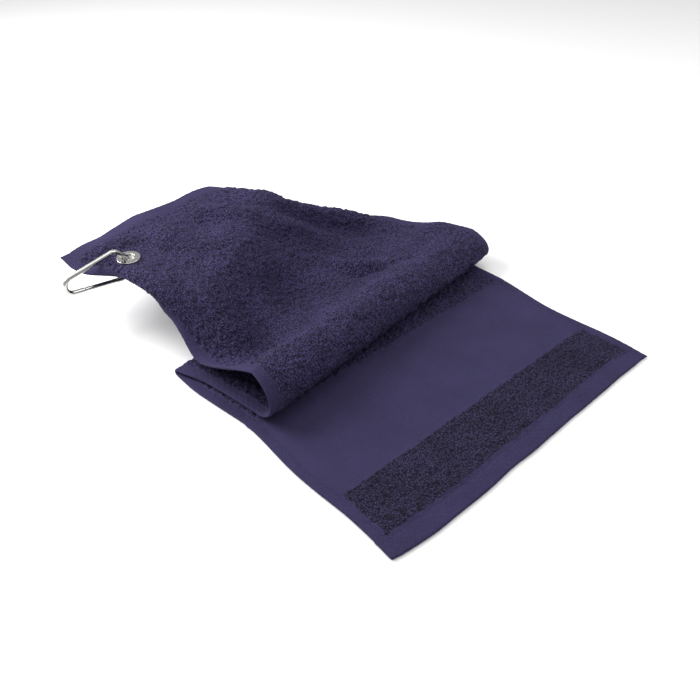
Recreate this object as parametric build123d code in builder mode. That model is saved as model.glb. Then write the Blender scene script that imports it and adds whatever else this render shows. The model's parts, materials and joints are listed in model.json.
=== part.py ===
from build123d import *
from math import cos, hypot, radians, sin
import os

# Golf towel, folded in three and draped, with an eyelet and a snap clip in one corner.
# Millimetres, +Z up. The origin is the middle of the flat underside of the lowest layer.
# X runs across the towel from its near edge to its far edge, Y along it from the printed end.

# --- Cloth ---------------------------------------------------------------------------
towel_width = 300.0
cloth_thickness = 3.5
side_hem_width = 9.5
end_hem_width = 17.0
band_length = 43.0
panel_length = 98.0
layer_gap = 0.6

# --- Lower layer and the tight fold at its end -------------------------------------------
lower_length = 246.0
tight_fold_skew = 26.0
bend_step = 45

# --- Open fold: half an ellipse seen from the side, set back from the tight fold ---------
open_fold_drift = 13.0
open_fold_setback_near = 81.0
open_fold_setback_far = 62.0
open_fold_depth_near = 23.0
open_fold_depth_far = 25.0
open_fold_height_near = 40.0
open_fold_height_far = 26.0
open_fold_step = 20

# --- Raised layer --------------------------------------------------------------------
# Each line across it has the places of its near and far ends, counted from the ends of the
# open fold's crest, the heights of the middle surface at six knots from the near edge to the
# far edge, and the angle at which the cloth climbs there.
raised_level = 54.25
slope_line = ((-2.0, 35.0), (-3.0, 28.0), (31.5, 33.0, 32.0, 31.0, 29.0, 26.0), 25.0)
valley_line = ((-5.0, 70.0), (-6.0, 55.0), (14.0, 25.0, 17.0, 15.0, 15.0, 16.0), 15.0)
foot_line = ((-6.0, 93.0), (-10.0, 80.0), (26.0, 41.0, 18.0, 12.0, 10.0, 9.0), 30.0)
ramp_line = ((-6.0, 120.0), (-23.0, 108.0), (52.0, 54.0, 41.0, 16.0, 7.0, 2.5), 30.0)
shoulder_line = ((-10.0, 155.0), (-43.0, 140.0), (54.25, 54.25, 54.25, 48.0, 12.0, 2.5), 0.0)
shelf_line = ((-29.0, 200.0), (-60.0, 190.0), (54.25, 54.25, 54.25, 53.0, 14.0, 2.5), 0.0)
tip_line = ((-37.0, 225.0), (-65.0, 213.0), (49.0, 54.25, 54.25, 52.0, 14.0, 2.5), 0.0)

# --- Sewing thread -------------------------------------------------------------------
thread_thickness = 0.4
thread_width = 0.7
thread_inset = 2.5

# --- Eyelet --------------------------------------------------------------------------
eyelet_across = 29.0
eyelet_setback = 20.5
eyelet_hole_radius = 5.5
eyelet_wall = 0.7
flange_radius = 10.5
flange_height = 1.2
flange_rounding = 0.5
washer_radius = 9.8
washer_thickness = 0.8
curl_radius = 7.6
curl_thickness = 0.7
cloth_hole_clearance = 0.1

# --- Snap clip, drawn in its own plane: x along it, y from its gate to its back -----------
wire_diameter = 4.2
clip_heading = 183.0
clip_tilt = 8.0
eye_bulge = 1.5
eye_radius = 11.0
back_start = (9.5, 15.5)
back_end = (62.0, 14.0)
tip_end = (58.5, 0.5)
nose_corner = (9.0, -14.0)
corner_radius = 5.5
end_radius = 7.6

# --- Gate of the clip ------------------------------------------------------------------
gate_diameter = 3.6
gate_hinge_setback = 13.0
gate_nose_setback = 8.0
gate_gap = 0.3
hinge_offset = 2.5
hinge_rounding = 2.1
tongue_thickness = 1.2
tongue_radius = 1.5
tongue_clearance = 0.15
nose_tongue_length = 3.0
slot_depth = 0.4
pin_diameter = 1.2
pin_clearance = 0.05
bore_radius = 1.2
bore_depth = 8.0
plunger_length = 1.5
spring_radius = 0.8
spring_wire = 0.4
spring_pitch = 1.1


# =====================================================================================
# Places worked out from the sizes above
# =====================================================================================
left = -towel_width / 2
right = towel_width / 2
printed_end = -lower_length / 2
hem_edge = printed_end + end_hem_width
band_edge = hem_edge + band_length
panel_edge = band_edge + panel_length
half_cloth = cloth_thickness / 2
bend_radius = (cloth_thickness + layer_gap) / 2
middle_level = half_cloth + 2 * bend_radius
tight_fold_near = printed_end + lower_length
tight_fold_far = tight_fold_near + tight_fold_skew
open_fold_near = tight_fold_near - open_fold_setback_near
open_fold_far = tight_fold_far - open_fold_setback_far
knots = [step / 5 for step in range(6)]
near_hem = (0, side_hem_width)
far_hem = (towel_width - side_hem_width, towel_width)
between_hems = (near_hem[1], far_hem[0])


# =====================================================================================
# Stations: lines across the cloth that its strips are lofted through
# =====================================================================================

class Station:
    """A line across the cloth, and the way that the cloth's face looks along it."""

    def __init__(self, near, far, face, heights=None, half_thickness=half_cloth):
        self.near = Vector(near)
        self.far = Vector(far)
        self.face = Vector(face)
        self.heights = heights or [0.0] * len(knots)
        self.half_thickness = half_thickness

    def point(self, across, above):
        """A point at a distance from the near edge, above the cloth's middle surface."""
        fraction = across / towel_width
        span = min(int(fraction * (len(knots) - 1)), len(knots) - 2)
        share = (fraction - knots[span]) / (knots[span + 1] - knots[span])
        height = self.heights[span] + (self.heights[span + 1] - self.heights[span]) * share
        return self.near + (self.far - self.near) * fraction + self.face * (height + above)

    def towards(self, other, distance):
        """The line that lies a distance from this one on the way to another."""
        share = distance / (other.near - self.near).length
        heights = [a + (b - a) * share for a, b in zip(self.heights, other.heights)]
        near = self.near + (other.near - self.near) * share
        far = self.far + (other.far - self.far) * share
        return Station(near, far, self.face, heights, self.half_thickness)


def flat_station(along):
    """A line straight across the lower layer."""
    return Station((left, along, half_cloth), (right, along, half_cloth), (0, 0, 1))


def bend_station(turn):
    """A line along the tight fold, where the cloth has turned by an angle."""
    reach = sin(radians(turn))
    level = half_cloth + bend_radius * (1 - cos(radians(turn)))
    near = (left, tight_fold_near + bend_radius * reach, level)
    far = (right, tight_fold_far + bend_radius * reach, level)
    return Station(near, far, (0, -reach, cos(radians(turn))))


def open_fold_station(turn):
    """A line along the open fold, where the cloth has turned by an angle."""
    reach = sin(radians(turn))
    rise = (1 - cos(radians(turn))) / 2
    depth = (open_fold_depth_near + open_fold_depth_far) / 2
    half_height = (open_fold_height_near + open_fold_height_far) / 4
    face = Vector(0, -half_height * reach, -depth * cos(radians(turn))).normalized()
    near = (
        left + open_fold_drift,
        open_fold_near - open_fold_depth_near * reach,
        middle_level + open_fold_height_near * rise,
    )
    far = (
        right + open_fold_drift,
        open_fold_far - open_fold_depth_far * reach,
        middle_level + open_fold_height_far * rise,
    )
    return Station(near, far, face)


def raised_station(near_shift, far_shift, heights, climb):
    """A line across the raised layer, in an upright plane."""
    near = (left + open_fold_drift + near_shift[0], open_fold_near + near_shift[1])
    far = (right + open_fold_drift + far_shift[0], open_fold_far + far_shift[1])
    return Station(near, far, (0, 0, 1), heights, half_cloth / cos(radians(climb)))


crest = open_fold_station(180)
slope = raised_station(*slope_line)
valley = raised_station(*valley_line)
foot = raised_station(*foot_line)
ramp = raised_station(*ramp_line)
shoulder = raised_station(*shoulder_line)
shelf = raised_station(*shelf_line)
tip = raised_station(*tip_line)
upper_hem_edge = tip.towards(shelf, end_hem_width)

bends = [bend_station(turn) for turn in range(0, 181, bend_step)]
lower_run = [flat_station(panel_edge), *bends, open_fold_station(0)]
hem_lower_run = [flat_station(printed_end), *lower_run[1:]]
open_fold_run = [open_fold_station(turn) for turn in range(0, 181, open_fold_step)]
raised_run = [crest, slope, valley, foot, ramp, shoulder, shelf, upper_hem_edge]
hem_raised_run = [*raised_run, tip]


def strip(stations, sides, low, high):
    """Cloth between two distances from the near edge, from a low to a high surface."""
    start, end = sides
    stops = [start, *[k * towel_width for k in knots if start < k * towel_width < end], end]
    sections = []
    for station in stations:
        top = [station.point(stop, high(station)) for stop in stops]
        bottom = [station.point(stop, low(station)) for stop in reversed(stops)]
        outline = Polyline(*top, *bottom, close=True, mode=Mode.PRIVATE)
        sections.append(make_face(outline.edges(), mode=Mode.PRIVATE))
    with BuildPart() as cloth:
        loft(sections, ruled=True)
    return cloth


def under_side(station):
    return -station.half_thickness


def face_side(station):
    return station.half_thickness


def thread_side(station):
    return station.half_thickness + thread_thickness


def save(piece, name):
    """Label a finished piece and write its file."""
    piece.part.label = name
    export_step(piece.part, f"parts/{name}.step")


os.makedirs("parts", exist_ok=True)

# =====================================================================================
# Cloth on the lower layer
# =====================================================================================
lower_end_hem = strip(
    [flat_station(printed_end), flat_station(hem_edge)], between_hems, under_side, face_side
)
save(lower_end_hem, "lower_end_hem")

terry_band = strip(
    [flat_station(hem_edge), flat_station(band_edge)], between_hems, under_side, face_side
)
save(terry_band, "terry_band")

print_panel = strip(
    [flat_station(band_edge), flat_station(panel_edge)], between_hems, under_side, face_side
)
save(print_panel, "print_panel")

terry_lower = strip(lower_run, between_hems, under_side, face_side)
save(terry_lower, "terry_lower")

near_hem_lower = strip(hem_lower_run, near_hem, under_side, face_side)
save(near_hem_lower, "near_hem_lower")

far_hem_lower = strip(hem_lower_run, far_hem, under_side, face_side)
save(far_hem_lower, "far_hem_lower")

# =====================================================================================
# Cloth round the open fold
# =====================================================================================
terry_open_fold = strip(open_fold_run, between_hems, under_side, face_side)
save(terry_open_fold, "terry_open_fold")

near_hem_open_fold = strip(open_fold_run, near_hem, under_side, face_side)
save(near_hem_open_fold, "near_hem_open_fold")

far_hem_open_fold = strip(open_fold_run, far_hem, under_side, face_side)
save(far_hem_open_fold, "far_hem_open_fold")

# =====================================================================================
# Raised cloth, with the hole that the eyelet is set in
# =====================================================================================
eyelet_line = shelf.towards(shoulder, eyelet_setback)
eyelet_spot = eyelet_line.point(eyelet_across, 0)
eyelet_centre = Vector(eyelet_spot.X, eyelet_spot.Y, raised_level)
cloth_hole_radius = eyelet_hole_radius + eyelet_wall + cloth_hole_clearance

raised_terry = strip(raised_run, between_hems, under_side, face_side)

with BuildPart() as terry_raised:
    add(raised_terry.part)
    with BuildSketch(Plane(origin=eyelet_centre)):
        Circle(cloth_hole_radius)
    extrude(amount=cloth_thickness, both=True, mode=Mode.SUBTRACT)
save(terry_raised, "terry_raised")

near_hem_raised = strip(hem_raised_run, near_hem, under_side, face_side)
save(near_hem_raised, "near_hem_raised")

far_hem_raised = strip(hem_raised_run, far_hem, under_side, face_side)
save(far_hem_raised, "far_hem_raised")

upper_end_hem = strip([upper_hem_edge, tip], between_hems, under_side, face_side)
save(upper_end_hem, "upper_end_hem")

# =====================================================================================
# Sewing thread, one row on the inner edge of each hem
# =====================================================================================
near_row = (side_hem_width - thread_inset, side_hem_width - thread_inset + thread_width)
far_row = (towel_width - near_row[1], towel_width - near_row[0])
seam_lower_run = [flat_station(hem_edge), flat_station(tight_fold_near)]


def side_thread(row):
    """The two visible lengths of a side hem's sewing thread."""
    lower = strip(seam_lower_run, row, face_side, thread_side)
    raised = strip(raised_run, row, face_side, thread_side)
    with BuildPart() as thread:
        add(lower.part)
        add(raised.part)
    return thread


near_hem_thread = side_thread(near_row)
save(near_hem_thread, "near_hem_thread")

far_hem_thread = side_thread(far_row)
save(far_hem_thread, "far_hem_thread")

lower_row_start = hem_edge - thread_inset
lower_row_run = [flat_station(lower_row_start), flat_station(lower_row_start + thread_width)]
lower_end_thread = strip(lower_row_run, between_hems, face_side, thread_side)
save(lower_end_thread, "lower_end_thread")

upper_row_run = [
    upper_hem_edge.towards(tip, thread_inset),
    upper_hem_edge.towards(tip, thread_inset + thread_width),
]
upper_end_thread = strip(upper_row_run, between_hems, face_side, thread_side)
save(upper_end_thread, "upper_end_thread")

# =====================================================================================
# Eyelet: a flanged barrel through the cloth, rolled over a washer underneath
# =====================================================================================
barrel_radius = eyelet_hole_radius + eyelet_wall
washer_base = -half_cloth - washer_thickness
curl_base = washer_base - curl_thickness

with BuildPart() as eyelet_front:
    with BuildSketch(Plane(origin=eyelet_centre, x_dir=(1, 0, 0), z_dir=(0, -1, 0))):
        with BuildLine():
            Polyline(
                (eyelet_hole_radius, curl_base),
                (curl_radius, curl_base),
                (curl_radius, washer_base),
                (barrel_radius, washer_base),
                (barrel_radius, half_cloth),
                (flange_radius, half_cloth),
                (flange_radius, half_cloth + flange_height),
                (eyelet_hole_radius, half_cloth + flange_height),
                close=True,
            )
        make_face()
    revolve(axis=Axis(eyelet_centre, (0, 0, 1)))
    fillet(eyelet_front.edges().group_by(Axis.Z)[-1], flange_rounding)
save(eyelet_front, "eyelet_front")

with BuildPart() as eyelet_washer:
    with BuildSketch(Plane(origin=eyelet_centre + Vector(0, 0, washer_base))):
        Circle(washer_radius)
        Circle(barrel_radius, mode=Mode.SUBTRACT)
    extrude(amount=washer_thickness)
save(eyelet_washer, "eyelet_washer")

# =====================================================================================
# Snap clip: a bent wire that passes through the eyelet, with a hinged gate
# =====================================================================================
heading = radians(clip_heading)
tilt = radians(clip_tilt)
clip_x = Vector(cos(heading) * cos(tilt), sin(heading) * cos(tilt), -sin(tilt))
clip_z = clip_x.cross(Vector(0, 0, 1))
clip_plane = Plane(origin=eyelet_centre, x_dir=clip_x, z_dir=clip_z)

gate_run = hypot(nose_corner[0] - tip_end[0], nose_corner[1] - tip_end[1])
gate_x = ((nose_corner[0] - tip_end[0]) / gate_run, (nose_corner[1] - tip_end[1]) / gate_run)


def on_gate_line(distance):
    """A point on the clip's gate side, at a distance from the corner at its tip."""
    return (tip_end[0] + gate_x[0] * distance, tip_end[1] + gate_x[1] * distance)


wire_radius = wire_diameter / 2
hinge_wire_end = on_gate_line(gate_hinge_setback)
nose_wire_end = on_gate_line(gate_run - gate_nose_setback)
hinge_point = on_gate_line(gate_hinge_setback + hinge_offset)
hinge_centre = clip_plane.from_local_coords((*hinge_point, 0))
gate_direction = clip_plane.from_local_coords((*gate_x, 0)) - clip_plane.origin
gate_plane = Plane(origin=hinge_centre, x_dir=gate_direction, z_dir=clip_z)
gate_length = gate_run - gate_nose_setback - gate_hinge_setback - hinge_offset - gate_gap

with BuildPart() as clip_body:
    with BuildLine(clip_plane) as wire_path:
        FilletPolyline(
            hinge_wire_end,
            tip_end,
            back_end,
            back_start,
            (-eye_bulge, 0),
            nose_corner,
            nose_wire_end,
            radius=[end_radius, end_radius, corner_radius, eye_radius, corner_radius],
        )
    with BuildSketch(wire_path.line ^ 0):
        Circle(wire_radius)
    sweep()
    with BuildSketch(gate_plane.offset(-tongue_thickness / 2)):
        with Locations((-hinge_offset / 2, 0)):
            Rectangle(hinge_offset, 2 * tongue_radius)
        Circle(tongue_radius)
        Circle(pin_diameter / 2, mode=Mode.SUBTRACT)
        with Locations((gate_length + gate_gap - nose_tongue_length / 2, 0)):
            Rectangle(nose_tongue_length, 2 * tongue_radius)
    extrude(amount=tongue_thickness)
save(clip_body, "clip_body")

# The gate is a bar whose forked ends take the tongues. Its back end is round about the pin.
slot_width = tongue_thickness + 2 * tongue_clearance
hinge_slot_end = tongue_radius + slot_depth
nose_slot_length = nose_tongue_length + slot_depth

with BuildPart() as clip_gate:
    with BuildSketch(Plane(origin=hinge_centre, x_dir=clip_z, z_dir=gate_direction)):
        Circle(gate_diameter / 2)
    extrude(amount=gate_length)
    extrude(clip_gate.faces().sort_by(Axis(hinge_centre, gate_direction))[0], amount=hinge_rounding)
    with BuildSketch(gate_plane.offset(-gate_diameter / 2)):
        Circle(hinge_rounding)
        with Locations((gate_length / 2, 0)):
            Rectangle(gate_length, 2 * hinge_rounding)
    extrude(amount=gate_diameter, mode=Mode.INTERSECT)
    with BuildSketch(gate_plane.offset(-slot_width / 2)):
        with Locations(((hinge_slot_end - hinge_rounding) / 2, 0)):
            Rectangle(hinge_slot_end + hinge_rounding, gate_diameter)
        with Locations((gate_length - nose_slot_length / 2, 0)):
            Rectangle(nose_slot_length, gate_diameter)
    extrude(amount=slot_width, mode=Mode.SUBTRACT)
    with BuildSketch(gate_plane.offset(-gate_diameter / 2)):
        Circle(pin_diameter / 2 + pin_clearance)
    extrude(amount=gate_diameter, mode=Mode.SUBTRACT)
    with BuildSketch(Plane(origin=hinge_centre, x_dir=clip_z, z_dir=gate_direction)):
        Circle(bore_radius)
    extrude(amount=hinge_slot_end + bore_depth, mode=Mode.SUBTRACT)
save(clip_gate, "clip_gate")

with BuildPart() as gate_pin:
    with BuildSketch(gate_plane.offset(-gate_diameter / 2)):
        Circle(pin_diameter / 2)
    extrude(amount=gate_diameter)
save(gate_pin, "gate_pin")

# A sprung plunger in the gate's bore bears on the rounded hinge tongue.
plunger_start = tongue_radius + pin_clearance
plunger_plane = Plane(
    origin=hinge_centre + gate_direction * plunger_start, x_dir=clip_z, z_dir=gate_direction
)
with BuildPart() as gate_plunger:
    with BuildSketch(plunger_plane):
        Circle(bore_radius - pin_clearance)
    extrude(amount=plunger_length)
save(gate_plunger, "gate_plunger")

spring_start = plunger_start + plunger_length + spring_wire / 2 + pin_clearance
spring_length = hinge_slot_end + bore_depth - spring_start - spring_wire
spring_base = hinge_centre + gate_direction * spring_start
with BuildPart() as gate_spring:
    with BuildLine() as coil:
        Helix(spring_pitch, spring_length, spring_radius, spring_base, gate_direction)
    with BuildSketch(coil.line ^ 0):
        Circle(spring_wire / 2)
    sweep()
save(gate_spring, "gate_spring")
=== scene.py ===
"""A folded golf towel with its eyelet and clip. Cloth sums are in millimetres in the towel's own
frame: across from the near edge, along from the printed end, up from the table."""
import json
import math

import bpy
import numpy as np
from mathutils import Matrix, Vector


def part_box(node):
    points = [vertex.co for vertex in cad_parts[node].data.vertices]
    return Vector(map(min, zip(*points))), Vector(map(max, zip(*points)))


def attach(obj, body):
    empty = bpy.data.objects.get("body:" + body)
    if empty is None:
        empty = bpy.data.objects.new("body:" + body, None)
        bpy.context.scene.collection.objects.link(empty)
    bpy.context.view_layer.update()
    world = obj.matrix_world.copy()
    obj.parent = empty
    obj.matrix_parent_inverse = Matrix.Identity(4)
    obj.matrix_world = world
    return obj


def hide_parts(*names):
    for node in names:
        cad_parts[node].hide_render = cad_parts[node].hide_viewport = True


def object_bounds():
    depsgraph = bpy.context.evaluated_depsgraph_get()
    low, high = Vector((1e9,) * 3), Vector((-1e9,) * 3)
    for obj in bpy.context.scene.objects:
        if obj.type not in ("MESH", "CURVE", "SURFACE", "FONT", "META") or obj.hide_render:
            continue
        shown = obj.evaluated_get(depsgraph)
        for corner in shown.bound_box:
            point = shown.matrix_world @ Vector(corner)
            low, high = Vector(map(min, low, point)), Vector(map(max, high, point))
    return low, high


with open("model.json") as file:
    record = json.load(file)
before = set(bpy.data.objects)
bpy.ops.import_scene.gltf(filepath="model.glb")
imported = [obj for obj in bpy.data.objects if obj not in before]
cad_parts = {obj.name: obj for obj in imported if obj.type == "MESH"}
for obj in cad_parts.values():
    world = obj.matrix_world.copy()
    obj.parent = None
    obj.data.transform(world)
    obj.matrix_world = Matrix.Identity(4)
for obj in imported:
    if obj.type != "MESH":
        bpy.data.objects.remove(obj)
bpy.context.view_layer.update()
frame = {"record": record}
MM = 0.001


# ---------------------------------------------------------------- sizes read from the CAD nodes
def span(node, axis):
    low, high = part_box(node)
    return low[axis] / MM, high[axis] / MM


LEFT = span("near_hem_lower", 0)[0]
SIDE_HEM = span("print_panel", 0)[0] - LEFT
RIGHT = span("print_panel", 0)[1] + SIDE_HEM
PRINTED_END, HEM_EDGE = span("lower_end_hem", 1)
BAND_EDGE = span("terry_band", 1)[1]
PANEL_EDGE = span("print_panel", 1)[1]
WIDTH = RIGHT - LEFT
END_HEM = HEM_EDGE - PRINTED_END
THICK = span("print_panel", 2)[1]
HALF = THICK / 2
BEND = HALF + 0.3    # radius of the tight fold's middle surface
MIDDLE = HALF + 2 * BEND
TIGHT_NEAR = span("near_hem_lower", 1)[1] - PRINTED_END - BEND - HALF
TIGHT_FAR = span("far_hem_lower", 1)[1] - PRINTED_END - BEND - HALF
EYE_LOW, EYE_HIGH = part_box("eyelet_front")
EYE_U = (EYE_LOW[0] + EYE_HIGH[0]) / 2 / MM - LEFT
EYE_V = (EYE_LOW[1] + EYE_HIGH[1]) / 2 / MM - PRINTED_END
LENGTH = 655.0    # flat length of the whole towel
RAISED = frame["record"]["behaviour"]["joints"][0]["pos_m"][2] / MM    # the cloth's middle at the eyelet
EDGE = 1.5    # the cloth rounds off this near its edges


# ---------------------------------------------------------------- guide surface of the folds
def spline(knots, points, at):
    """Natural cubic through the points at the knots, read at other places."""
    values = np.asarray(points, float)
    x = np.asarray(knots, float)
    gap = np.diff(x)
    count = len(x)
    system = np.zeros((count, count))
    right = np.zeros_like(values)
    system[0, 0] = system[-1, -1] = 1
    for i in range(1, count - 1):
        system[i, i - 1:i + 2] = gap[i - 1], 2 * (gap[i - 1] + gap[i]), gap[i]
        right[i] = 6 * ((values[i + 1] - values[i]) / gap[i] - (values[i] - values[i - 1]) / gap[i - 1])
    bend = np.linalg.solve(system, right.reshape(count, -1)).reshape(values.shape)
    at = np.asarray(at, float)
    i = np.clip(np.searchsorted(x, at, side="right") - 1, 0, count - 2)
    shape = (-1,) + (1,) * (values.ndim - 1)
    a = ((x[i + 1] - at) / gap[i]).reshape(shape)
    b = 1 - a
    wide = gap[i].reshape(shape)
    return (a * values[i] + b * values[i + 1]
            + ((a ** 3 - a) * bend[i] + (b ** 3 - b) * bend[i + 1]) * wide ** 2 / 6)


KNOTS = np.array([0, 0.2, 0.4, 0.6, 0.8, 1.0])
# each raised line: near end (across, along), far end, heights at the knots
LINES = (
    ((13, 165), (313, 210), (45.9, 43, 40, 37, 34, 31.9)),
    ((11, 200), (310, 238), (31.5, 33, 32, 31, 30, 29)),
    ((10, 236), (307, 260), (14.5, 24, 20, 17, 18, 21)),
    ((11, 260), (304, 282), (26, 43, 24, 16, 14, 15)),
    ((13, 288), (292, 305), (47, 54, 46, 27, 15, 13)),
    ((5.5, 318), (262, 334), (55.5, 55, 54.2, 51, 38, 14)),
    ((-15, 346), (247, 357), (55, 55, 56, 57, 44, 4)),
    ((-26, 367), (240, 386), (54.5, 55.5, 57, 56, 20, 2.1)),
    ((-25, 392), (236, 428), (57.5, 54.6, 54.8, 55, 10, 2.1)),
)


def guide(across):
    """Rows of the cloth's middle surface from the printed end to the eyelet's end, and which row is
    the open fold's crest."""
    share = (across / WIDTH)[:, None]
    rows = []

    def row(near, far):
        near, far = np.array(near, float), np.array(far, float)
        rows.append(near + (far - near) * share)

    for along in (0, 17, 60, 110, 158, 200):
        row((0, along, HALF), (WIDTH, along, HALF))
    for turn in np.radians(np.arange(0, 181, 20)):
        up = HALF + BEND * (1 - np.cos(turn))
        row((0, TIGHT_NEAR + BEND * np.sin(turn), up), (WIDTH, TIGHT_FAR + BEND * np.sin(turn), up))
    row((6, 205, MIDDLE), (306, 241, MIDDLE))
    for turn in np.radians(np.arange(0, 180, 9)):
        lift = (1 - np.cos(turn)) / 2
        row((13, 165 - 23 * np.sin(turn), MIDDLE + 40 * lift),
            (313, 210 - 25 * np.sin(turn), MIDDLE + 26 * lift))
    crest = len(rows)
    lines = []
    for near, far, heights in LINES:
        near, far = np.array(near, float), np.array(far, float)
        up = spline(KNOTS, np.array(heights, float)[:, None], share[:, 0])[:, 0]
        lines.append(np.c_[near + (far - near) * share, up])
    places = np.linspace(0, 1, len(lines))
    between = np.linspace(0, 1, 8 * (len(lines) - 1) + 1)
    rows.extend(spline(places, np.array(lines), between))
    return np.array(rows), crest


def by_length(rows, at):
    """Reads each column of rows at lengths along it, and gives each row's length. Past its end a
    column runs straight on."""
    out = np.zeros((len(at), rows.shape[1], 3))
    ends = np.zeros((rows.shape[0], rows.shape[1]))
    for i in range(rows.shape[1]):
        column = rows[:, i]
        run = np.r_[0, np.cumsum(np.linalg.norm(np.diff(column, axis=0), axis=1))]
        ends[:, i] = run
        for k in range(3):
            out[:, i, k] = np.interp(at, run, column[:, k])
        past = at > run[-1]
        way = column[-1] - column[-4]
        out[past, i] = column[-1] + way / np.linalg.norm(way) * (at[past] - run[-1])[:, None]
    return out, ends


# ---------------------------------------------------------------- the raised layer settles
# the pile of cloths under the raised end isn't part of the object, so it is only a rounded box here
PROP_CORNER = np.array([-48.0, 366.0])
PROP_A = np.array([0.543, -0.840])
PROP_B = np.array([0.840, 0.543])
PROP_SIZE = (143.0, 198.0, 53.0)
PROP_ROUND = 16.0
PROP_DOME = 4.5
CLEAR = 0.3
DRAG = 0.94
FALL = 0.22
SLANT = 0.3
BENDING = 0.028
FRICTION = 0.35


def prop(points):
    """Distance to the support, and the way out of it."""
    rel = points[..., :2] - PROP_CORNER
    length, width, top = PROP_SIZE
    a = rel @ PROP_A - length / 2
    b = rel @ PROP_B - width / 2
    up = points[..., 2] - PROP_DOME * np.clip((b / width + 0.5) * 1.4, 0, 1)
    q = np.stack([np.abs(a) - length / 2 + PROP_ROUND, np.abs(b) - width / 2 + PROP_ROUND,
                  up - top + PROP_ROUND], -1)
    outer = np.maximum(q, 0)
    out = np.linalg.norm(outer, axis=-1)
    distance = out + np.minimum(q.max(-1), 0) - PROP_ROUND
    way = np.where(out[..., None] > 1e-9, outer / np.maximum(out, 1e-9)[..., None],
                   np.eye(3)[q.argmax(-1)])
    way = way * np.stack([np.sign(a), np.sign(b), np.ones_like(a)], -1)
    return distance, np.concatenate([way[..., :1] * PROP_A + way[..., 1:2] * PROP_B, way[..., 2:]], -1)


def ground(points):
    """Lowest middle height: on the towel's own lower layers, or on the table."""
    u, v = points[..., 0], points[..., 1]
    edge = TIGHT_NEAR + (TIGHT_FAR - TIGHT_NEAR) * u / WIDTH
    past = np.clip((v - edge - 2) / 14, 0, 1) + np.clip((u - WIDTH - 1) / 10, 0, 1)
    lift = 1 - np.clip(past, 0, 1)
    return HALF + CLEAR + (MIDDLE + THICK - HALF) * lift * lift * (3 - 2 * lift)


def split(count, gap):
    """Index pairs gap apart, in groups that share no index."""
    groups = []
    for first in range(gap):
        for half in (0, 1):
            a = np.arange(first + half * gap, count - gap, 2 * gap)
            if len(a):
                groups.append((a, a + gap))
    return groups


def settle(points, step, target, pull, fixed, rounds=170, inner=14):
    """Position-based cloth: kept lengths, light bending, gravity, friction and contact."""
    points = points.copy()
    speed = np.zeros_like(points)
    move = np.where(fixed, 0.0, 1.0)[..., None]
    rows, columns = points.shape[:2]

    def keep(a, b, rest, stiff):
        gap = points[b] - points[a]
        far = np.linalg.norm(gap, axis=-1, keepdims=True)
        share = move[a] + move[b]
        fix = stiff * (far - rest) / np.maximum(far, 1e-9) * gap / np.maximum(share, 1e-9)
        points[a] += move[a] * fix
        points[b] -= move[b] * fix

    down = [((a[:, None], np.arange(columns)[None]), (b[:, None], np.arange(columns)[None]))
            for a, b in split(rows, 1)]
    over = [((np.arange(rows)[:, None], a[None]), (np.arange(rows)[:, None], b[None]))
            for a, b in split(columns, 1)]
    slant = []
    for a, b in split(rows, 1):
        left, right = np.arange(columns - 1)[None], np.arange(1, columns)[None]
        slant.append(((a[:, None], left), (b[:, None], right)))
        slant.append(((a[:, None], right), (b[:, None], left)))
    for _ in range(rounds):
        speed *= DRAG
        speed[..., 2] -= FALL
        before = points.copy()
        points += speed * move
        for _ in range(inner):
            for a, b in down:
                keep(a, b, step, 1.0)
            for a, b in over:
                keep(a, b, step, 1.0)
            for a, b in slant:
                keep(a, b, step * math.sqrt(2), SLANT)
            for axis in (0, 1):
                p = points if axis == 0 else points.swapaxes(0, 1)
                m = move if axis == 0 else move.swapaxes(0, 1)
                curl = np.zeros_like(p)
                curl[1:-1] = p[:-2] - 2 * p[1:-1] + p[2:]
                force = np.zeros_like(p)
                force[1:-1] += -2 * curl[1:-1]
                force[:-2] += curl[1:-1]
                force[2:] += curl[1:-1]
                p -= BENDING * force * m
            points += move * pull[..., None] * (target - points)
            distance, way = prop(points)
            into = np.maximum(HALF - distance, 0)
            points += move * into[..., None] * way
            low = np.maximum(ground(points) - points[..., 2], 0)
            points[..., 2] += low * move[..., 0]
        touching = ((into > 0) | (low > 0))[..., None]
        speed = (points - before) * np.where(touching, FRICTION, 1.0)
    return points


def finer(coarse, rows_at, columns_at, rows, columns):
    """A coarse grid of points read on finer rows and columns."""
    once = spline(rows_at, coarse, rows)
    return spline(columns_at, once.swapaxes(0, 1), columns).swapaxes(0, 1)


def smooth(x):
    """0 to 1 with a soft start and end."""
    x = np.clip(x, 0, 1)
    return x * x * (3 - 2 * x)


def lines_at(*stops):
    """Grid lines from stops (place, cell) pairs."""
    out = [stops[0][0]]
    for (a, _), (b, cell) in zip(stops, stops[1:]):
        out.extend(np.linspace(a, b, max(1, round((b - a) / cell)) + 1)[1:])
    return np.array(out)


CELL = 1.25
ACROSS = lines_at((0, 0), (EDGE, 0.5), (SIDE_HEM, CELL), (WIDTH - SIDE_HEM, CELL),
                  (WIDTH - EDGE, CELL), (WIDTH, 0.5))
BAND_END = BAND_EDGE - PRINTED_END
PANEL_END = PANEL_EDGE - PRINTED_END
ALONG = lines_at((0, 0), (EDGE, 0.5), (END_HEM, CELL), (BAND_END, CELL), (PANEL_END, 2 * CELL),
                 (LENGTH - END_HEM, CELL), (LENGTH - EDGE, CELL), (LENGTH, 0.5))
STEP = 10.0
FREE_FROM = 370.0    # the settled part starts here along the cloth, before the open fold's crest

wide = np.arange(0, WIDTH + 1, STEP)
coarse_guide, crest_row = guide(wide)
long_at = np.linspace(FREE_FROM, LENGTH, len(np.arange(FREE_FROM, LENGTH + 1, STEP)))
first, runs = by_length(coarse_guide, long_at)
s_at, t_at = wide[None], long_at[:, None]
past_crest = t_at - runs[crest_row][None]
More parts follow.
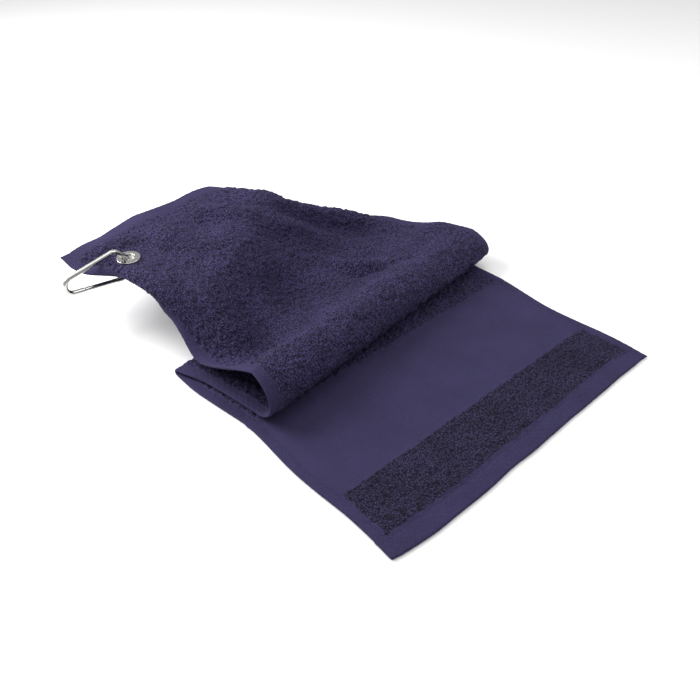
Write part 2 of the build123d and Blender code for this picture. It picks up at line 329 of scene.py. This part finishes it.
# how firmly each place is held to the guide in every step: edges, crest line, corner and eyelet
pull = np.zeros_like(past_crest)
pull[(s_at <= SIDE_HEM) & (past_crest > 0)] = 0.25
pull[(t_at > LENGTH - 22) & (s_at <= 165)] = 0.16
pull[(s_at >= 285) & (past_crest > 0)] = 0.10
ridge = (past_crest > 105) & (s_at > 175)
pull[ridge] = np.maximum(pull[ridge], 0.05)
pull[(t_at > LENGTH - 35) & (s_at <= 25)] = 0.4
pull[np.hypot(s_at - 29, t_at - (LENGTH - 38)) < 18] = 0.3
settled = settle(first, STEP, first, pull, fixed=past_crest < 4)

fine_guide, crest_row = guide(ACROSS)
flat_part, runs = by_length(fine_guide, ALONG)
fine_crest = runs[crest_row]
raised_part = finer(settled, long_at, wide, ALONG, ACROSS)
blend = smooth((ALONG[:, None] - fine_crest[None] + 2) / 12)[..., None]
blend[ALONG < FREE_FROM + 5] = 0
raised_part[ALONG < FREE_FROM] = 0
CLOTH = flat_part * (1 - blend) + raised_part * blend
T, S = np.meshgrid(ALONG, ACROSS, indexing="ij")


def bow(stops, at):
    """How far an edge bows out, from (place, distance) stops along it."""
    places, distances = zip(*stops)
    return spline(places, np.array(distances)[:, None], at)


# the lower layer's edges aren't quite straight
NEAR_BOW = ((0, 1.0), (50, 2.0), (110, 0.5), (172, 1.0), (222, -5.5), (260, -5.0), (300, 0.0), (LENGTH, 0.0))
FAR_BOW = ((0, 3.0), (50, 2.5), (102, -0.5), (165, 3.5), (220, 2.0), (300, 0.0), (LENGTH, 0.0))
END_BOW = ((0, 0.5), (50, -3.0), (120, -2.0), (190, -0.5), (245, 1.5), (WIDTH, 0.0))
flat_zone = 1 - smooth((T - TIGHT_NEAR - 4) / 40)
CLOTH[..., 0] += flat_zone * (bow(NEAR_BOW, ALONG) * np.exp(-(S / 45) ** 2)
                              + bow(FAR_BOW, ALONG) * np.exp(-((WIDTH - S) / 45) ** 2))
CLOTH[..., 1] += bow(END_BOW, ACROSS)[:, 0][None] * np.exp(-(T / 40) ** 2)


def hill(u, v, long, short, turn, height):
    """Adds a rounded ridge, or a dip where height is negative, to the raised layer."""
    du, dv = CLOTH[..., 0] - u, CLOTH[..., 1] - v
    a = du * math.cos(turn) + dv * math.sin(turn)
    b = dv * math.cos(turn) - du * math.sin(turn)
    on = smooth((T - fine_crest[None] + 10) / 20)
    CLOTH[..., 2] += on * height * np.exp(-(a / long) ** 2 - (b / short) ** 2)


# middle (across, along), half length, half width, turn in degrees, height
HILLS = (
    (205, 253, 27, 7, -46, 8.0),
    (195, 241, 23, 7, -42, -7.0),
    (232, 222, 26, 6, -34, -3.4),
    (292, 236, 16, 11, 10, 2.6),
    (150, 262, 34, 14, -20, 3.0),
    (95, 215, 30, 13, 30, 2.2),
    (262, 240, 26, 12, 8, 3.0),
    (60, 236, 26, 14, 60, -2.6),
    (120, 372, 40, 9, -30, -2.6),
    (60, 352, 36, 12, 40, 1.8),
)
for u, v, long, short, turn, height in HILLS:
    hill(u, v, long, short, math.radians(turn), height)

# the cloth is flat where the eyelet clamps it
reach = np.hypot(CLOTH[..., 0] - EYE_U, CLOTH[..., 1] - EYE_V)
top_zone = ALONG[:, None] > fine_crest[None]
clamp = smooth((30 - reach) / 16) * top_zone
CLOTH[..., 2] += (RAISED - CLOTH[..., 2]) * clamp


# ---------------------------------------------------------------- slabs of cloth
def normals_of(points):
    n = np.cross(np.gradient(points, axis=1), np.gradient(points, axis=0))
    return n / np.maximum(np.linalg.norm(n, axis=-1, keepdims=True), 1e-12)


def blur(field, times):
    """Noise smoothed over more cells the more times it is averaged, scaled to a spread of 1."""
    for _ in range(times):
        field = (np.roll(field, 1, 0) + 2 * field + np.roll(field, -1, 0)) / 4
        field = (np.roll(field, 1, 1) + 2 * field + np.roll(field, -1, 1)) / 4
    return field / field.std()


rng = np.random.RandomState(11)
nubs = [blur(rng.normal(size=T.shape), 1) for _ in (0, 1)]
nap = [blur(rng.normal(size=T.shape), 14) for _ in (0, 1)]
sway = [blur(rng.normal(size=T.shape), 160) for _ in (0, 1, 2)]
fray = [blur(rng.normal(size=T.shape), 3) for _ in (0, 1)]
clear_of_eye = smooth((reach - 16) / 20) * top_zone
CLOTH += normals_of(CLOTH) * (0.9 * sway[0] * clear_of_eye)[..., None]
side_gap = np.minimum(S, WIDTH - S)
end_gap = np.minimum(T, LENGTH - T)
loose_edge = 0.55 * (np.exp(-(side_gap / 14) ** 2) + np.exp(-(end_gap / 14) ** 2))
CLOTH[..., 0] += sway[1] * loose_edge
CLOTH[..., 1] += sway[2] * loose_edge
# loops lean over the lines where terry meets a hem or the panel
seams = ((S - SIDE_HEM), (S - WIDTH + SIDE_HEM), (T - END_HEM), (T - BAND_END), (T - PANEL_END),
         (T - LENGTH + END_HEM))
lean = 0.7 * np.minimum(sum(np.exp(-(gap / 2.2) ** 2) for gap in seams), 1)
fray = [np.clip(field, -1.6, 1.6) for field in fray]
CLOTH += (np.gradient(CLOTH, axis=1) * (fray[0] * lean / np.gradient(S, axis=1))[..., None]
          + np.gradient(CLOTH, axis=0) * (fray[1] * lean / np.gradient(T, axis=0))[..., None]) * 0.6
NORMAL = normals_of(CLOTH)
in_hem = (S < SIDE_HEM) | (S > WIDTH - SIDE_HEM) | (T < END_HEM) | (T > LENGTH - END_HEM)
in_panel = (T > BAND_END) & (T < PANEL_END) & ~in_hem
INSET = 2.5    # from a hem's inner edge to its row of stitches
to_stitch = np.minimum(np.abs(side_gap - SIDE_HEM + INSET), np.abs(end_gap - END_HEM + INSET))
groove = 0.32 * np.exp(-(to_stitch / 0.9) ** 2) * in_hem
rim = np.sqrt(np.clip(1 - (1 - np.clip(np.minimum(side_gap, end_gap) / EDGE, 0, 1)) ** 2, 0, 1))
pucker = 0.10 * np.sin(2 * math.pi * (S + T) / 6.4) * in_hem


def side_height(k):
    """Height of one side of the cloth over its middle: pile on terry, flat hems and panel."""
    pile = 0.46 * nubs[k] + 0.16 * nap[k]
    terry = HALF - 0.15 + pile
    hem = HALF - 0.50 - groove + pucker + 0.06 * nap[k]
    panel = HALF - 0.55 + 0.04 * nubs[k] + 0.07 * nap[k]
    height = np.where(in_hem, hem, np.where(in_panel, panel, terry))
    height = np.clip(height, 0.25, HALF + 0.95)
    clamped = smooth((14 - reach) / 3) * top_zone
    height = height * (1 - clamped) + (HALF - 0.02) * clamped
    return height * (0.25 + 0.75 * rim)


high = side_height(0)
low = side_height(1)
# the pile under the cloth is pressed thin around the washer, clear of the open gate
pressed = smooth((27 - reach) / 4) * smooth((reach - 11) / 3) * top_zone
low = low - pressed * np.maximum(low - (HALF - 0.6), 0)
# the pile is pressed flat in the tight fold
in_tight_fold = np.abs(T - np.interp(S, [0, WIDTH], [TIGHT_NEAR, TIGHT_FAR])) < 16
high = np.where(in_tight_fold, np.minimum(high, HALF), high)
low = np.where(in_tight_fold, np.minimum(low, HALF), low)
TOP = CLOTH + NORMAL * high[..., None]
BOTTOM = CLOTH - NORMAL * low[..., None]
BOTTOM[..., 2] = np.maximum(BOTTOM[..., 2], 0.0)
TOP_N = normals_of(TOP)
BOTTOM_N = -normals_of(BOTTOM)
TO_WORLD = np.array([LEFT, PRINTED_END, 0.0])
HOLE = 6.9    # under the eyelet's flange, and wider than its barrel
hole = (reach < HOLE) & top_zone


def slab(name, keep):
    """A closed piece from the grid squares marked in keep."""
    keep = keep & ~(hole[:-1, :-1] & hole[1:, 1:])
    rows, columns = T.shape
    number = np.arange(rows * columns).reshape(rows, columns)
    a, b = number[:-1, :-1], number[:-1, 1:]
    c, d = number[1:, 1:], number[1:, :-1]
    shift = rows * columns
    quads = [np.stack([a[keep], b[keep], c[keep], d[keep]], 1),
             np.stack([d[keep], c[keep], b[keep], a[keep]], 1) + shift]
    padded = np.zeros((rows + 1, columns + 1), bool)
    padded[1:-1, 1:-1] = keep
    inside = padded[1:-1, 1:-1]
    for other, p, q in ((padded[:-2, 1:-1], a, b), (padded[1:-1, 2:], b, c),
                        (padded[2:, 1:-1], c, d), (padded[1:-1, :-2], d, a)):
        wall = inside & ~other
        quads.append(np.stack([p[wall], p[wall] + shift, q[wall] + shift, q[wall]], 1))
    faces = np.concatenate(quads)
    points = np.concatenate([TOP.reshape(-1, 3), BOTTOM.reshape(-1, 3)])
    ways = np.concatenate([TOP_N.reshape(-1, 3), BOTTOM_N.reshape(-1, 3)])
    flat = np.concatenate([np.stack([S.ravel(), T.ravel(), np.zeros(S.size)], 1),
                           np.stack([S.ravel(), T.ravel(), np.ones(S.size)], 1)])
    used, faces = np.unique(faces, return_inverse=True)
    faces = faces.reshape(-1, 4)
    mesh = bpy.data.meshes.new(name)
    mesh.from_pydata(((points[used] + TO_WORLD) * MM).tolist(), [], faces.tolist())
    place = mesh.attributes.new("flat", "FLOAT_VECTOR", "POINT")
    place.data.foreach_set("vector", (flat[used] * MM).ravel())
    mesh.polygons.foreach_set("use_smooth", [True] * len(faces))
    mesh.update()
    mesh.normals_split_custom_set_from_vertices(ways[used].tolist())
    piece = bpy.data.objects.new(name, mesh)
    bpy.context.scene.collection.objects.link(piece)
    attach(piece, "towel")
    return piece


middle_t = (T[:-1, :-1] + T[1:, 1:]) / 2
middle_s = (S[:-1, :-1] + S[1:, 1:]) / 2
crest_at = np.interp(middle_s, ACROSS, fine_crest)
TURNED = 45.0    # from the tight fold to the start of the open fold's pieces
fold_at = np.interp(middle_s, [0, WIDTH], [TIGHT_NEAR, TIGHT_FAR]) + TURNED
near_side = middle_s < SIDE_HEM
far_side = middle_s > WIDTH - SIDE_HEM
body = ~near_side & ~far_side
first_hem = middle_t < END_HEM
last_hem = middle_t > LENGTH - END_HEM
lower = (middle_t < fold_at) & ~first_hem
opened = (middle_t > fold_at) & (middle_t < crest_at)
upper = (middle_t > crest_at) & ~last_hem
ZONES = {
    "cloth_hem_printed_end": (first_hem, "lower_end_hem"),
    "cloth_terry_band": (body & lower & (middle_t < BAND_END), "terry_band"),
    "cloth_print_panel": (body & lower & (middle_t > BAND_END) & (middle_t < PANEL_END), "print_panel"),
    "cloth_terry_lower": (body & lower & (middle_t > PANEL_END), "terry_lower"),
    "cloth_hem_near_lower": (near_side & lower, "near_hem_lower"),
    "cloth_hem_far_lower": (far_side & lower, "far_hem_lower"),
    "cloth_terry_open_fold": (body & opened, "terry_open_fold"),
    "cloth_hem_near_open_fold": (near_side & opened, "near_hem_open_fold"),
    "cloth_hem_far_open_fold": (far_side & opened, "far_hem_open_fold"),
    "cloth_terry_raised": (body & upper, "terry_raised"),
    "cloth_hem_near_raised": (near_side & upper, "near_hem_raised"),
    "cloth_hem_far_raised": (far_side & upper, "far_hem_raised"),
    "cloth_hem_eyelet_end": (last_hem, "upper_end_hem"),
}


# ---------------------------------------------------------------- stitches
def stitches(name, path, pitch=3.2, length=2.6, radius=0.26):
    """A row of short round stitches along places (across, along) on one side of the cloth."""
    points, faces = [], []
    rings, around = 5, 6
    for side, ways in ((TOP, TOP_N), (BOTTOM, BOTTOM_N)):
        way = np.array([sample(ways, s, t) for s, t in path])
        line = np.array([sample(side, s, t) for s, t in path]) + way * 0.05
        run = np.r_[0, np.cumsum(np.linalg.norm(np.diff(line, axis=0), axis=1))]
        for start in np.arange(0.6, run[-1] - length, pitch):
            base = len(points)
            at = start + np.linspace(0, length, rings)
            spine = np.stack([np.interp(at, run, line[:, i]) for i in range(3)], 1)
            up = np.stack([np.interp(at, run, way[:, i]) for i in range(3)], 1)
            up /= np.linalg.norm(up, axis=1, keepdims=True)
            ahead = spine[-1] - spine[0]
            ahead /= np.linalg.norm(ahead)
            for j in range(rings):
                bulge = math.sin(math.pi * (j + 0.35) / (rings - 0.3))
                across = np.cross(ahead, up[j])
                lift = spine[j] + up[j] * (0.22 * bulge - 0.10)
                for i in range(around):
                    turn = 2 * math.pi * i / around
                    out = math.cos(turn) * across + 0.8 * math.sin(turn) * up[j]
                    points.append(lift + radius * max(bulge, 0.25) * out)
            for j in range(rings - 1):
                for i in range(around):
                    n = (i + 1) % around
                    faces.append((base + j * around + i, base + j * around + n,
                                  base + (j + 1) * around + n, base + (j + 1) * around + i))
            faces.append(tuple(base + i for i in reversed(range(around))))
            faces.append(tuple(base + (rings - 1) * around + i for i in range(around)))
    mesh = bpy.data.meshes.new(name)
    mesh.from_pydata(((np.array(points) + TO_WORLD) * MM).tolist(), [], faces)
    mesh.polygons.foreach_set("use_smooth", [True] * len(faces))
    mesh.update()
    piece = bpy.data.objects.new(name, mesh)
    bpy.context.scene.collection.objects.link(piece)
    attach(piece, "towel")
    return piece


def sample(field, s, t):
    """Value of a grid field at a place on the flat cloth."""
    i = int(np.clip(np.searchsorted(ALONG, t) - 1, 0, len(ALONG) - 2))
    j = int(np.clip(np.searchsorted(ACROSS, s) - 1, 0, len(ACROSS) - 2))
    a = (t - ALONG[i]) / (ALONG[i + 1] - ALONG[i])
    b = (s - ACROSS[j]) / (ACROSS[j + 1] - ACROSS[j])
    return ((field[i, j] * (1 - b) + field[i, j + 1] * b) * (1 - a)
            + (field[i + 1, j] * (1 - b) + field[i + 1, j + 1] * b) * a)


side_t = np.arange(2.0, LENGTH - 1.9, 1.0)
end_s = np.arange(2.0, WIDTH - 1.9, 1.0)
THREADS = (
    ("stitches_near_hem", [(SIDE_HEM - INSET, t) for t in side_t], "near_hem_thread"),
    ("stitches_far_hem", [(WIDTH - SIDE_HEM + INSET, t) for t in side_t], "far_hem_thread"),
    ("stitches_printed_end", [(s, END_HEM - INSET) for s in end_s], "lower_end_thread"),
    ("stitches_eyelet_end", [(s, LENGTH - END_HEM + INSET) for s in end_s], "upper_end_thread"),
)


# ---------------------------------------------------------------- materials
def shader(name):
    """A new material and short calls for its nodes."""
    material = bpy.data.materials.new(name)
    material.use_nodes = True
    tree = material.node_tree
    tree.nodes.clear()
    out = tree.nodes.new("ShaderNodeOutputMaterial")
    surface = tree.nodes.new("ShaderNodeBsdfPrincipled")
    tree.links.new(surface.outputs[0], out.inputs["Surface"])

    def node(kind, inputs=(), **settings):
        made = tree.nodes.new("ShaderNode" + kind)
        for key, value in settings.items():
            setattr(made, key, value)
        for key, value in dict(inputs).items():
            if hasattr(value, "is_output"):
                tree.links.new(value, made.inputs[key])
            else:
                made.inputs[key].default_value = value
        return made

    def give(key, value):
        if hasattr(value, "is_output"):
            tree.links.new(value, surface.inputs[key])
        else:
            surface.inputs[key].default_value = value

    return material, node, give


def srgb(r, g, b):
    """A linear colour from one seen on a screen, with each of its three numbers above 10."""
    return tuple(((c / 255 + 0.055) / 1.055) ** 2.4 for c in (r, g, b)) + (1.0,)


def ramp(node, factor, *stops):
    """A colour that goes through (place, colour) stops as the factor grows."""
    made = node("ValToRGB", {"Fac": factor})
    points = made.color_ramp.elements
    while len(points) < len(stops):
        points.new(0.5)
    for point, (place, colour) in zip(points, stops):
        point.position = place
        point.color = colour
    return made.outputs["Color"]


def cloth(name, gap_shade_colour, mid, light, grain, grain_scale, weave=0.0, sheen=0.35, relief=0.5):
    """Cotton: loop or yarn grain with painted shade in its gaps, a slow change of tone, an optional weave,
    sheen and relief.
    """
    material, node, give = shader(name)
    flat = node("Attribute", attribute_name="flat").outputs["Vector"]
    bent = node("TexNoise", {"Vector": flat, "Scale": grain_scale * 0.8, "Detail": 2.0})
    pushed = node("MixRGB", {"Fac": 0.0009, "Color1": flat, "Color2": bent.outputs["Color"]},
                  blend_type="ADD")
    loops = node("TexVoronoi", {"Vector": pushed.outputs[0], "Scale": grain_scale, "Randomness": 1.0})
    clump = node("TexNoise", {"Vector": flat, "Scale": grain_scale * 1.7, "Detail": 3.0, "Roughness": 0.6})
    slow = node("TexNoise", {"Vector": flat, "Scale": 30.0, "Detail": 3.0})
    fibre = node("TexNoise", {"Vector": flat, "Scale": 4200.0, "Detail": 3.0})

    def maths(operation, *values):
        return node("Math", dict(enumerate(values)), operation=operation).outputs[0]

    height = maths("MULTIPLY_ADD", loops.outputs["Distance"], -grain, 0.75)
    height = maths("MULTIPLY_ADD", clump.outputs["Fac"], grain * 0.6, height)
    if weave:
        axes = node("SeparateXYZ", {"Vector": flat}).outputs
        warp = maths("SINE", maths("MULTIPLY", axes["X"], weave))
        weft = maths("SINE", maths("MULTIPLY", axes["Y"], weave))
        height = maths("MULTIPLY_ADD", maths("MULTIPLY", warp, weft), 0.10, height)
    # the base colour follows the loop height as painted shade, dark in the gaps and lighter on the tops,
    # mixed with slow and fine random tone
    painted_gap_shade_and_tone = maths("MULTIPLY_ADD", slow.outputs["Fac"], 0.24, height)
    painted_gap_shade_and_tone = maths("MULTIPLY_ADD", fibre.outputs["Fac"], 0.12, painted_gap_shade_and_tone)
    give("Base Color", ramp(node, painted_gap_shade_and_tone, (0.53, gap_shade_colour), (0.83, mid), (1.0, light)))
    rough = node("MapRange", {"Value": fibre.outputs["Fac"], "To Min": 0.86, "To Max": 1.0})
    give("Roughness", rough.outputs["Result"])
    give("Specular IOR Level", 0.15)
    give("Sheen Weight", sheen)
    give("Sheen Roughness", 0.45)
    give("Sheen Tint", light)
    bump = node("Bump", {"Height": height, "Strength": relief, "Distance": 0.0012})
    fine = node("Bump", {"Height": fibre.outputs["Fac"], "Strength": 0.25, "Distance": 0.0002,
                         "Normal": bump.outputs["Normal"]})
    give("Normal", fine.outputs["Normal"])
    return material


def metal(name, colour, rough, lines):
    """Plated metal with faint cloudiness and fine handling marks."""
    material, node, give = shader(name)
    place = node("TexCoord").outputs["Object"]
    cloud = node("TexNoise", {"Vector": place, "Scale": 90.0, "Detail": 4.0})
    stretched = node("Mapping", {"Vector": place, "Scale": (lines, lines * 0.06, lines)})
    marks = node("TexNoise", {"Vector": stretched.outputs[0], "Scale": 14.0, "Detail": 5.0,
                              "Roughness": 0.7})
    tint = tuple(c * 0.82 for c in colour[:3]) + (1.0,)
    give("Base Color", ramp(node, cloud.outputs["Fac"], (0.3, tint), (0.65, colour)))
    give("Metallic", 1.0)
    spread = node("MapRange", {"Value": marks.outputs["Fac"], "From Min": 0.3, "From Max": 0.75,
                               "To Min": rough * 0.7, "To Max": rough * 1.6})
    give("Roughness", spread.outputs["Result"])
    bump = node("Bump", {"Height": marks.outputs["Fac"], "Strength": 0.06, "Distance": 0.0002})
    give("Normal", bump.outputs["Normal"])
    return material


# each cloth's first colour is the painted shade in its loop or yarn gaps
terry = cloth("terry_loops", srgb(20, 18, 31), srgb(41, 37, 64), srgb(69, 63, 102), 0.75, 720.0,
              sheen=0.3, relief=1.0)
band = cloth("terry_band_loops", srgb(16, 15, 25), srgb(34, 31, 51), srgb(60, 55, 86), 0.80, 760.0,
             sheen=0.25, relief=1.0)
woven = cloth("panel_velour", srgb(35, 31, 54), srgb(44, 40, 67), srgb(53, 48, 80), 0.3, 1300.0,
              weave=5200.0, sheen=0.25, relief=0.25)
hem_weave = cloth("hem_weave", srgb(31, 28, 48), srgb(42, 38, 65), srgb(56, 51, 84), 0.35, 1200.0,
                  weave=4400.0, sheen=0.3, relief=0.4)
yarn = cloth("sewing_thread", srgb(32, 29, 50), srgb(50, 46, 74), srgb(68, 63, 96), 0.4, 2600.0,
             weave=9000.0, sheen=0.5, relief=0.5)
nickel = metal("bright_nickel", (0.56, 0.55, 0.53, 1.0), 0.17, 60.0)
steel = metal("bright_steel", (0.62, 0.62, 0.62, 1.0), 0.24, 90.0)

FINISHES = {"terry": terry, "woven": woven, "hem": hem_weave}

for name, (keep, node_name) in ZONES.items():
    piece = slab(name, keep)
    slot = "terry" if "terry" in name else "woven" if "panel" in name else "hem"
    material = band if name == "cloth_terry_band" else FINISHES[slot]
    piece.data.materials.append(material)
    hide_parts(node_name)
for name, path, node_name in THREADS:
    piece = stitches(name, path)
    piece.data.materials.append(yarn)
    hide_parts(node_name)

SHEETS = (
    ("cloth_terry_band", "laid", ("cloth_hem_printed_end", "stitches_printed_end")),
    ("cloth_print_panel", "laid", ()),
    ("cloth_terry_lower", "folded", ("cloth_hem_near_lower", "cloth_hem_far_lower")),
    ("cloth_terry_open_fold", "folded", ("cloth_hem_near_open_fold", "cloth_hem_far_open_fold")),
    ("cloth_terry_raised", "draped", ("cloth_hem_near_raised", "cloth_hem_far_raised",
                                      "cloth_hem_eyelet_end", "stitches_near_hem",
                                      "stitches_far_hem", "stitches_eyelet_end")),
)
for name, held, going in SHEETS:
    keep = ZONES[name][0]

FITTINGS = {"eyelet_front": nickel, "eyelet_washer": nickel, "clip_body": nickel, "clip_gate": nickel,
            "gate_pin": steel, "gate_plunger": steel, "gate_spring": steel}
for node_name, material in FITTINGS.items():
    for place in bpy.data.objects[node_name].material_slots:
        place.material = material


# ---------------------------------------------------------------- floor, light and camera
low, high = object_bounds()
centre = [(a + b) / 2 for a, b in zip(low, high)]


def floor(level, radius, sides):
    """A plain pale disc under the object."""
    turns = [2 * math.pi * i / sides for i in range(sides)]
    mesh = bpy.data.meshes.new("floor")
    rim_points = [(radius * math.cos(a), radius * math.sin(a), 0.0) for a in turns]
    mesh.from_pydata(rim_points, [], [range(sides)])
    piece = bpy.data.objects.new("floor", mesh)
    bpy.context.scene.collection.objects.link(piece)
    piece.location = (centre[0], centre[1], level)
    material, node, give = shader("pale_floor")
    place = node("TexCoord").outputs["Object"]
    grain = node("TexNoise", {"Vector": place, "Scale": 0.5, "Detail": 2.0})
    give("Base Color", ramp(node, grain.outputs["Fac"], (0.3, (0.86, 0.86, 0.86, 1)),
                            (0.7, (0.88, 0.88, 0.88, 1))))
    give("Roughness", 0.9)
    give("Specular IOR Level", 0.1)
    mesh.materials.append(material)


floor(low[2], 30.0, 128)


def lamp(name, size, power, place, aim):
    data = bpy.data.lights.new(name, "AREA")
    data.shape = "DISK"
    data.size = size
    data.energy = power
    piece = bpy.data.objects.new(name, data)
    bpy.context.scene.collection.objects.link(piece)
    piece.location = place
    piece.rotation_euler = (Vector(aim) - Vector(place)).to_track_quat("-Z", "Y").to_euler()


lamp("key", 0.75, 15.5, (centre[0] - 0.48, centre[1] + 0.68, 0.64), (centre[0] - 0.1, centre[1] + 0.1, 0.0))
lamp("fill", 1.2, 8.0, (centre[0] + 0.9, centre[1] - 0.8, 1.1), centre)
lamp("top", 1.2, 7.0, (centre[0], centre[1] + 0.1, 1.5), centre)
world = bpy.data.worlds.new("studio")
bpy.context.scene.world = world
world.use_nodes = True
world.node_tree.nodes["Background"].inputs["Color"].default_value = (1.0, 1.0, 1.0, 1.0)
world.node_tree.nodes["Background"].inputs["Strength"].default_value = 0.57
bpy.context.scene.view_settings.view_transform = "Standard"

lens = bpy.data.cameras.new("camera")
lens.sensor_width = 36.0
lens.lens = 37.64
lens.clip_start = 0.01
camera = bpy.data.objects.new("camera", lens)
bpy.context.scene.collection.objects.link(camera)
camera.location = (-0.3530, -0.3093, 0.3954)
camera.rotation_euler = (math.radians(90 - 39.0), 0.0, -math.radians(41.88))
bpy.context.scene.camera = camera
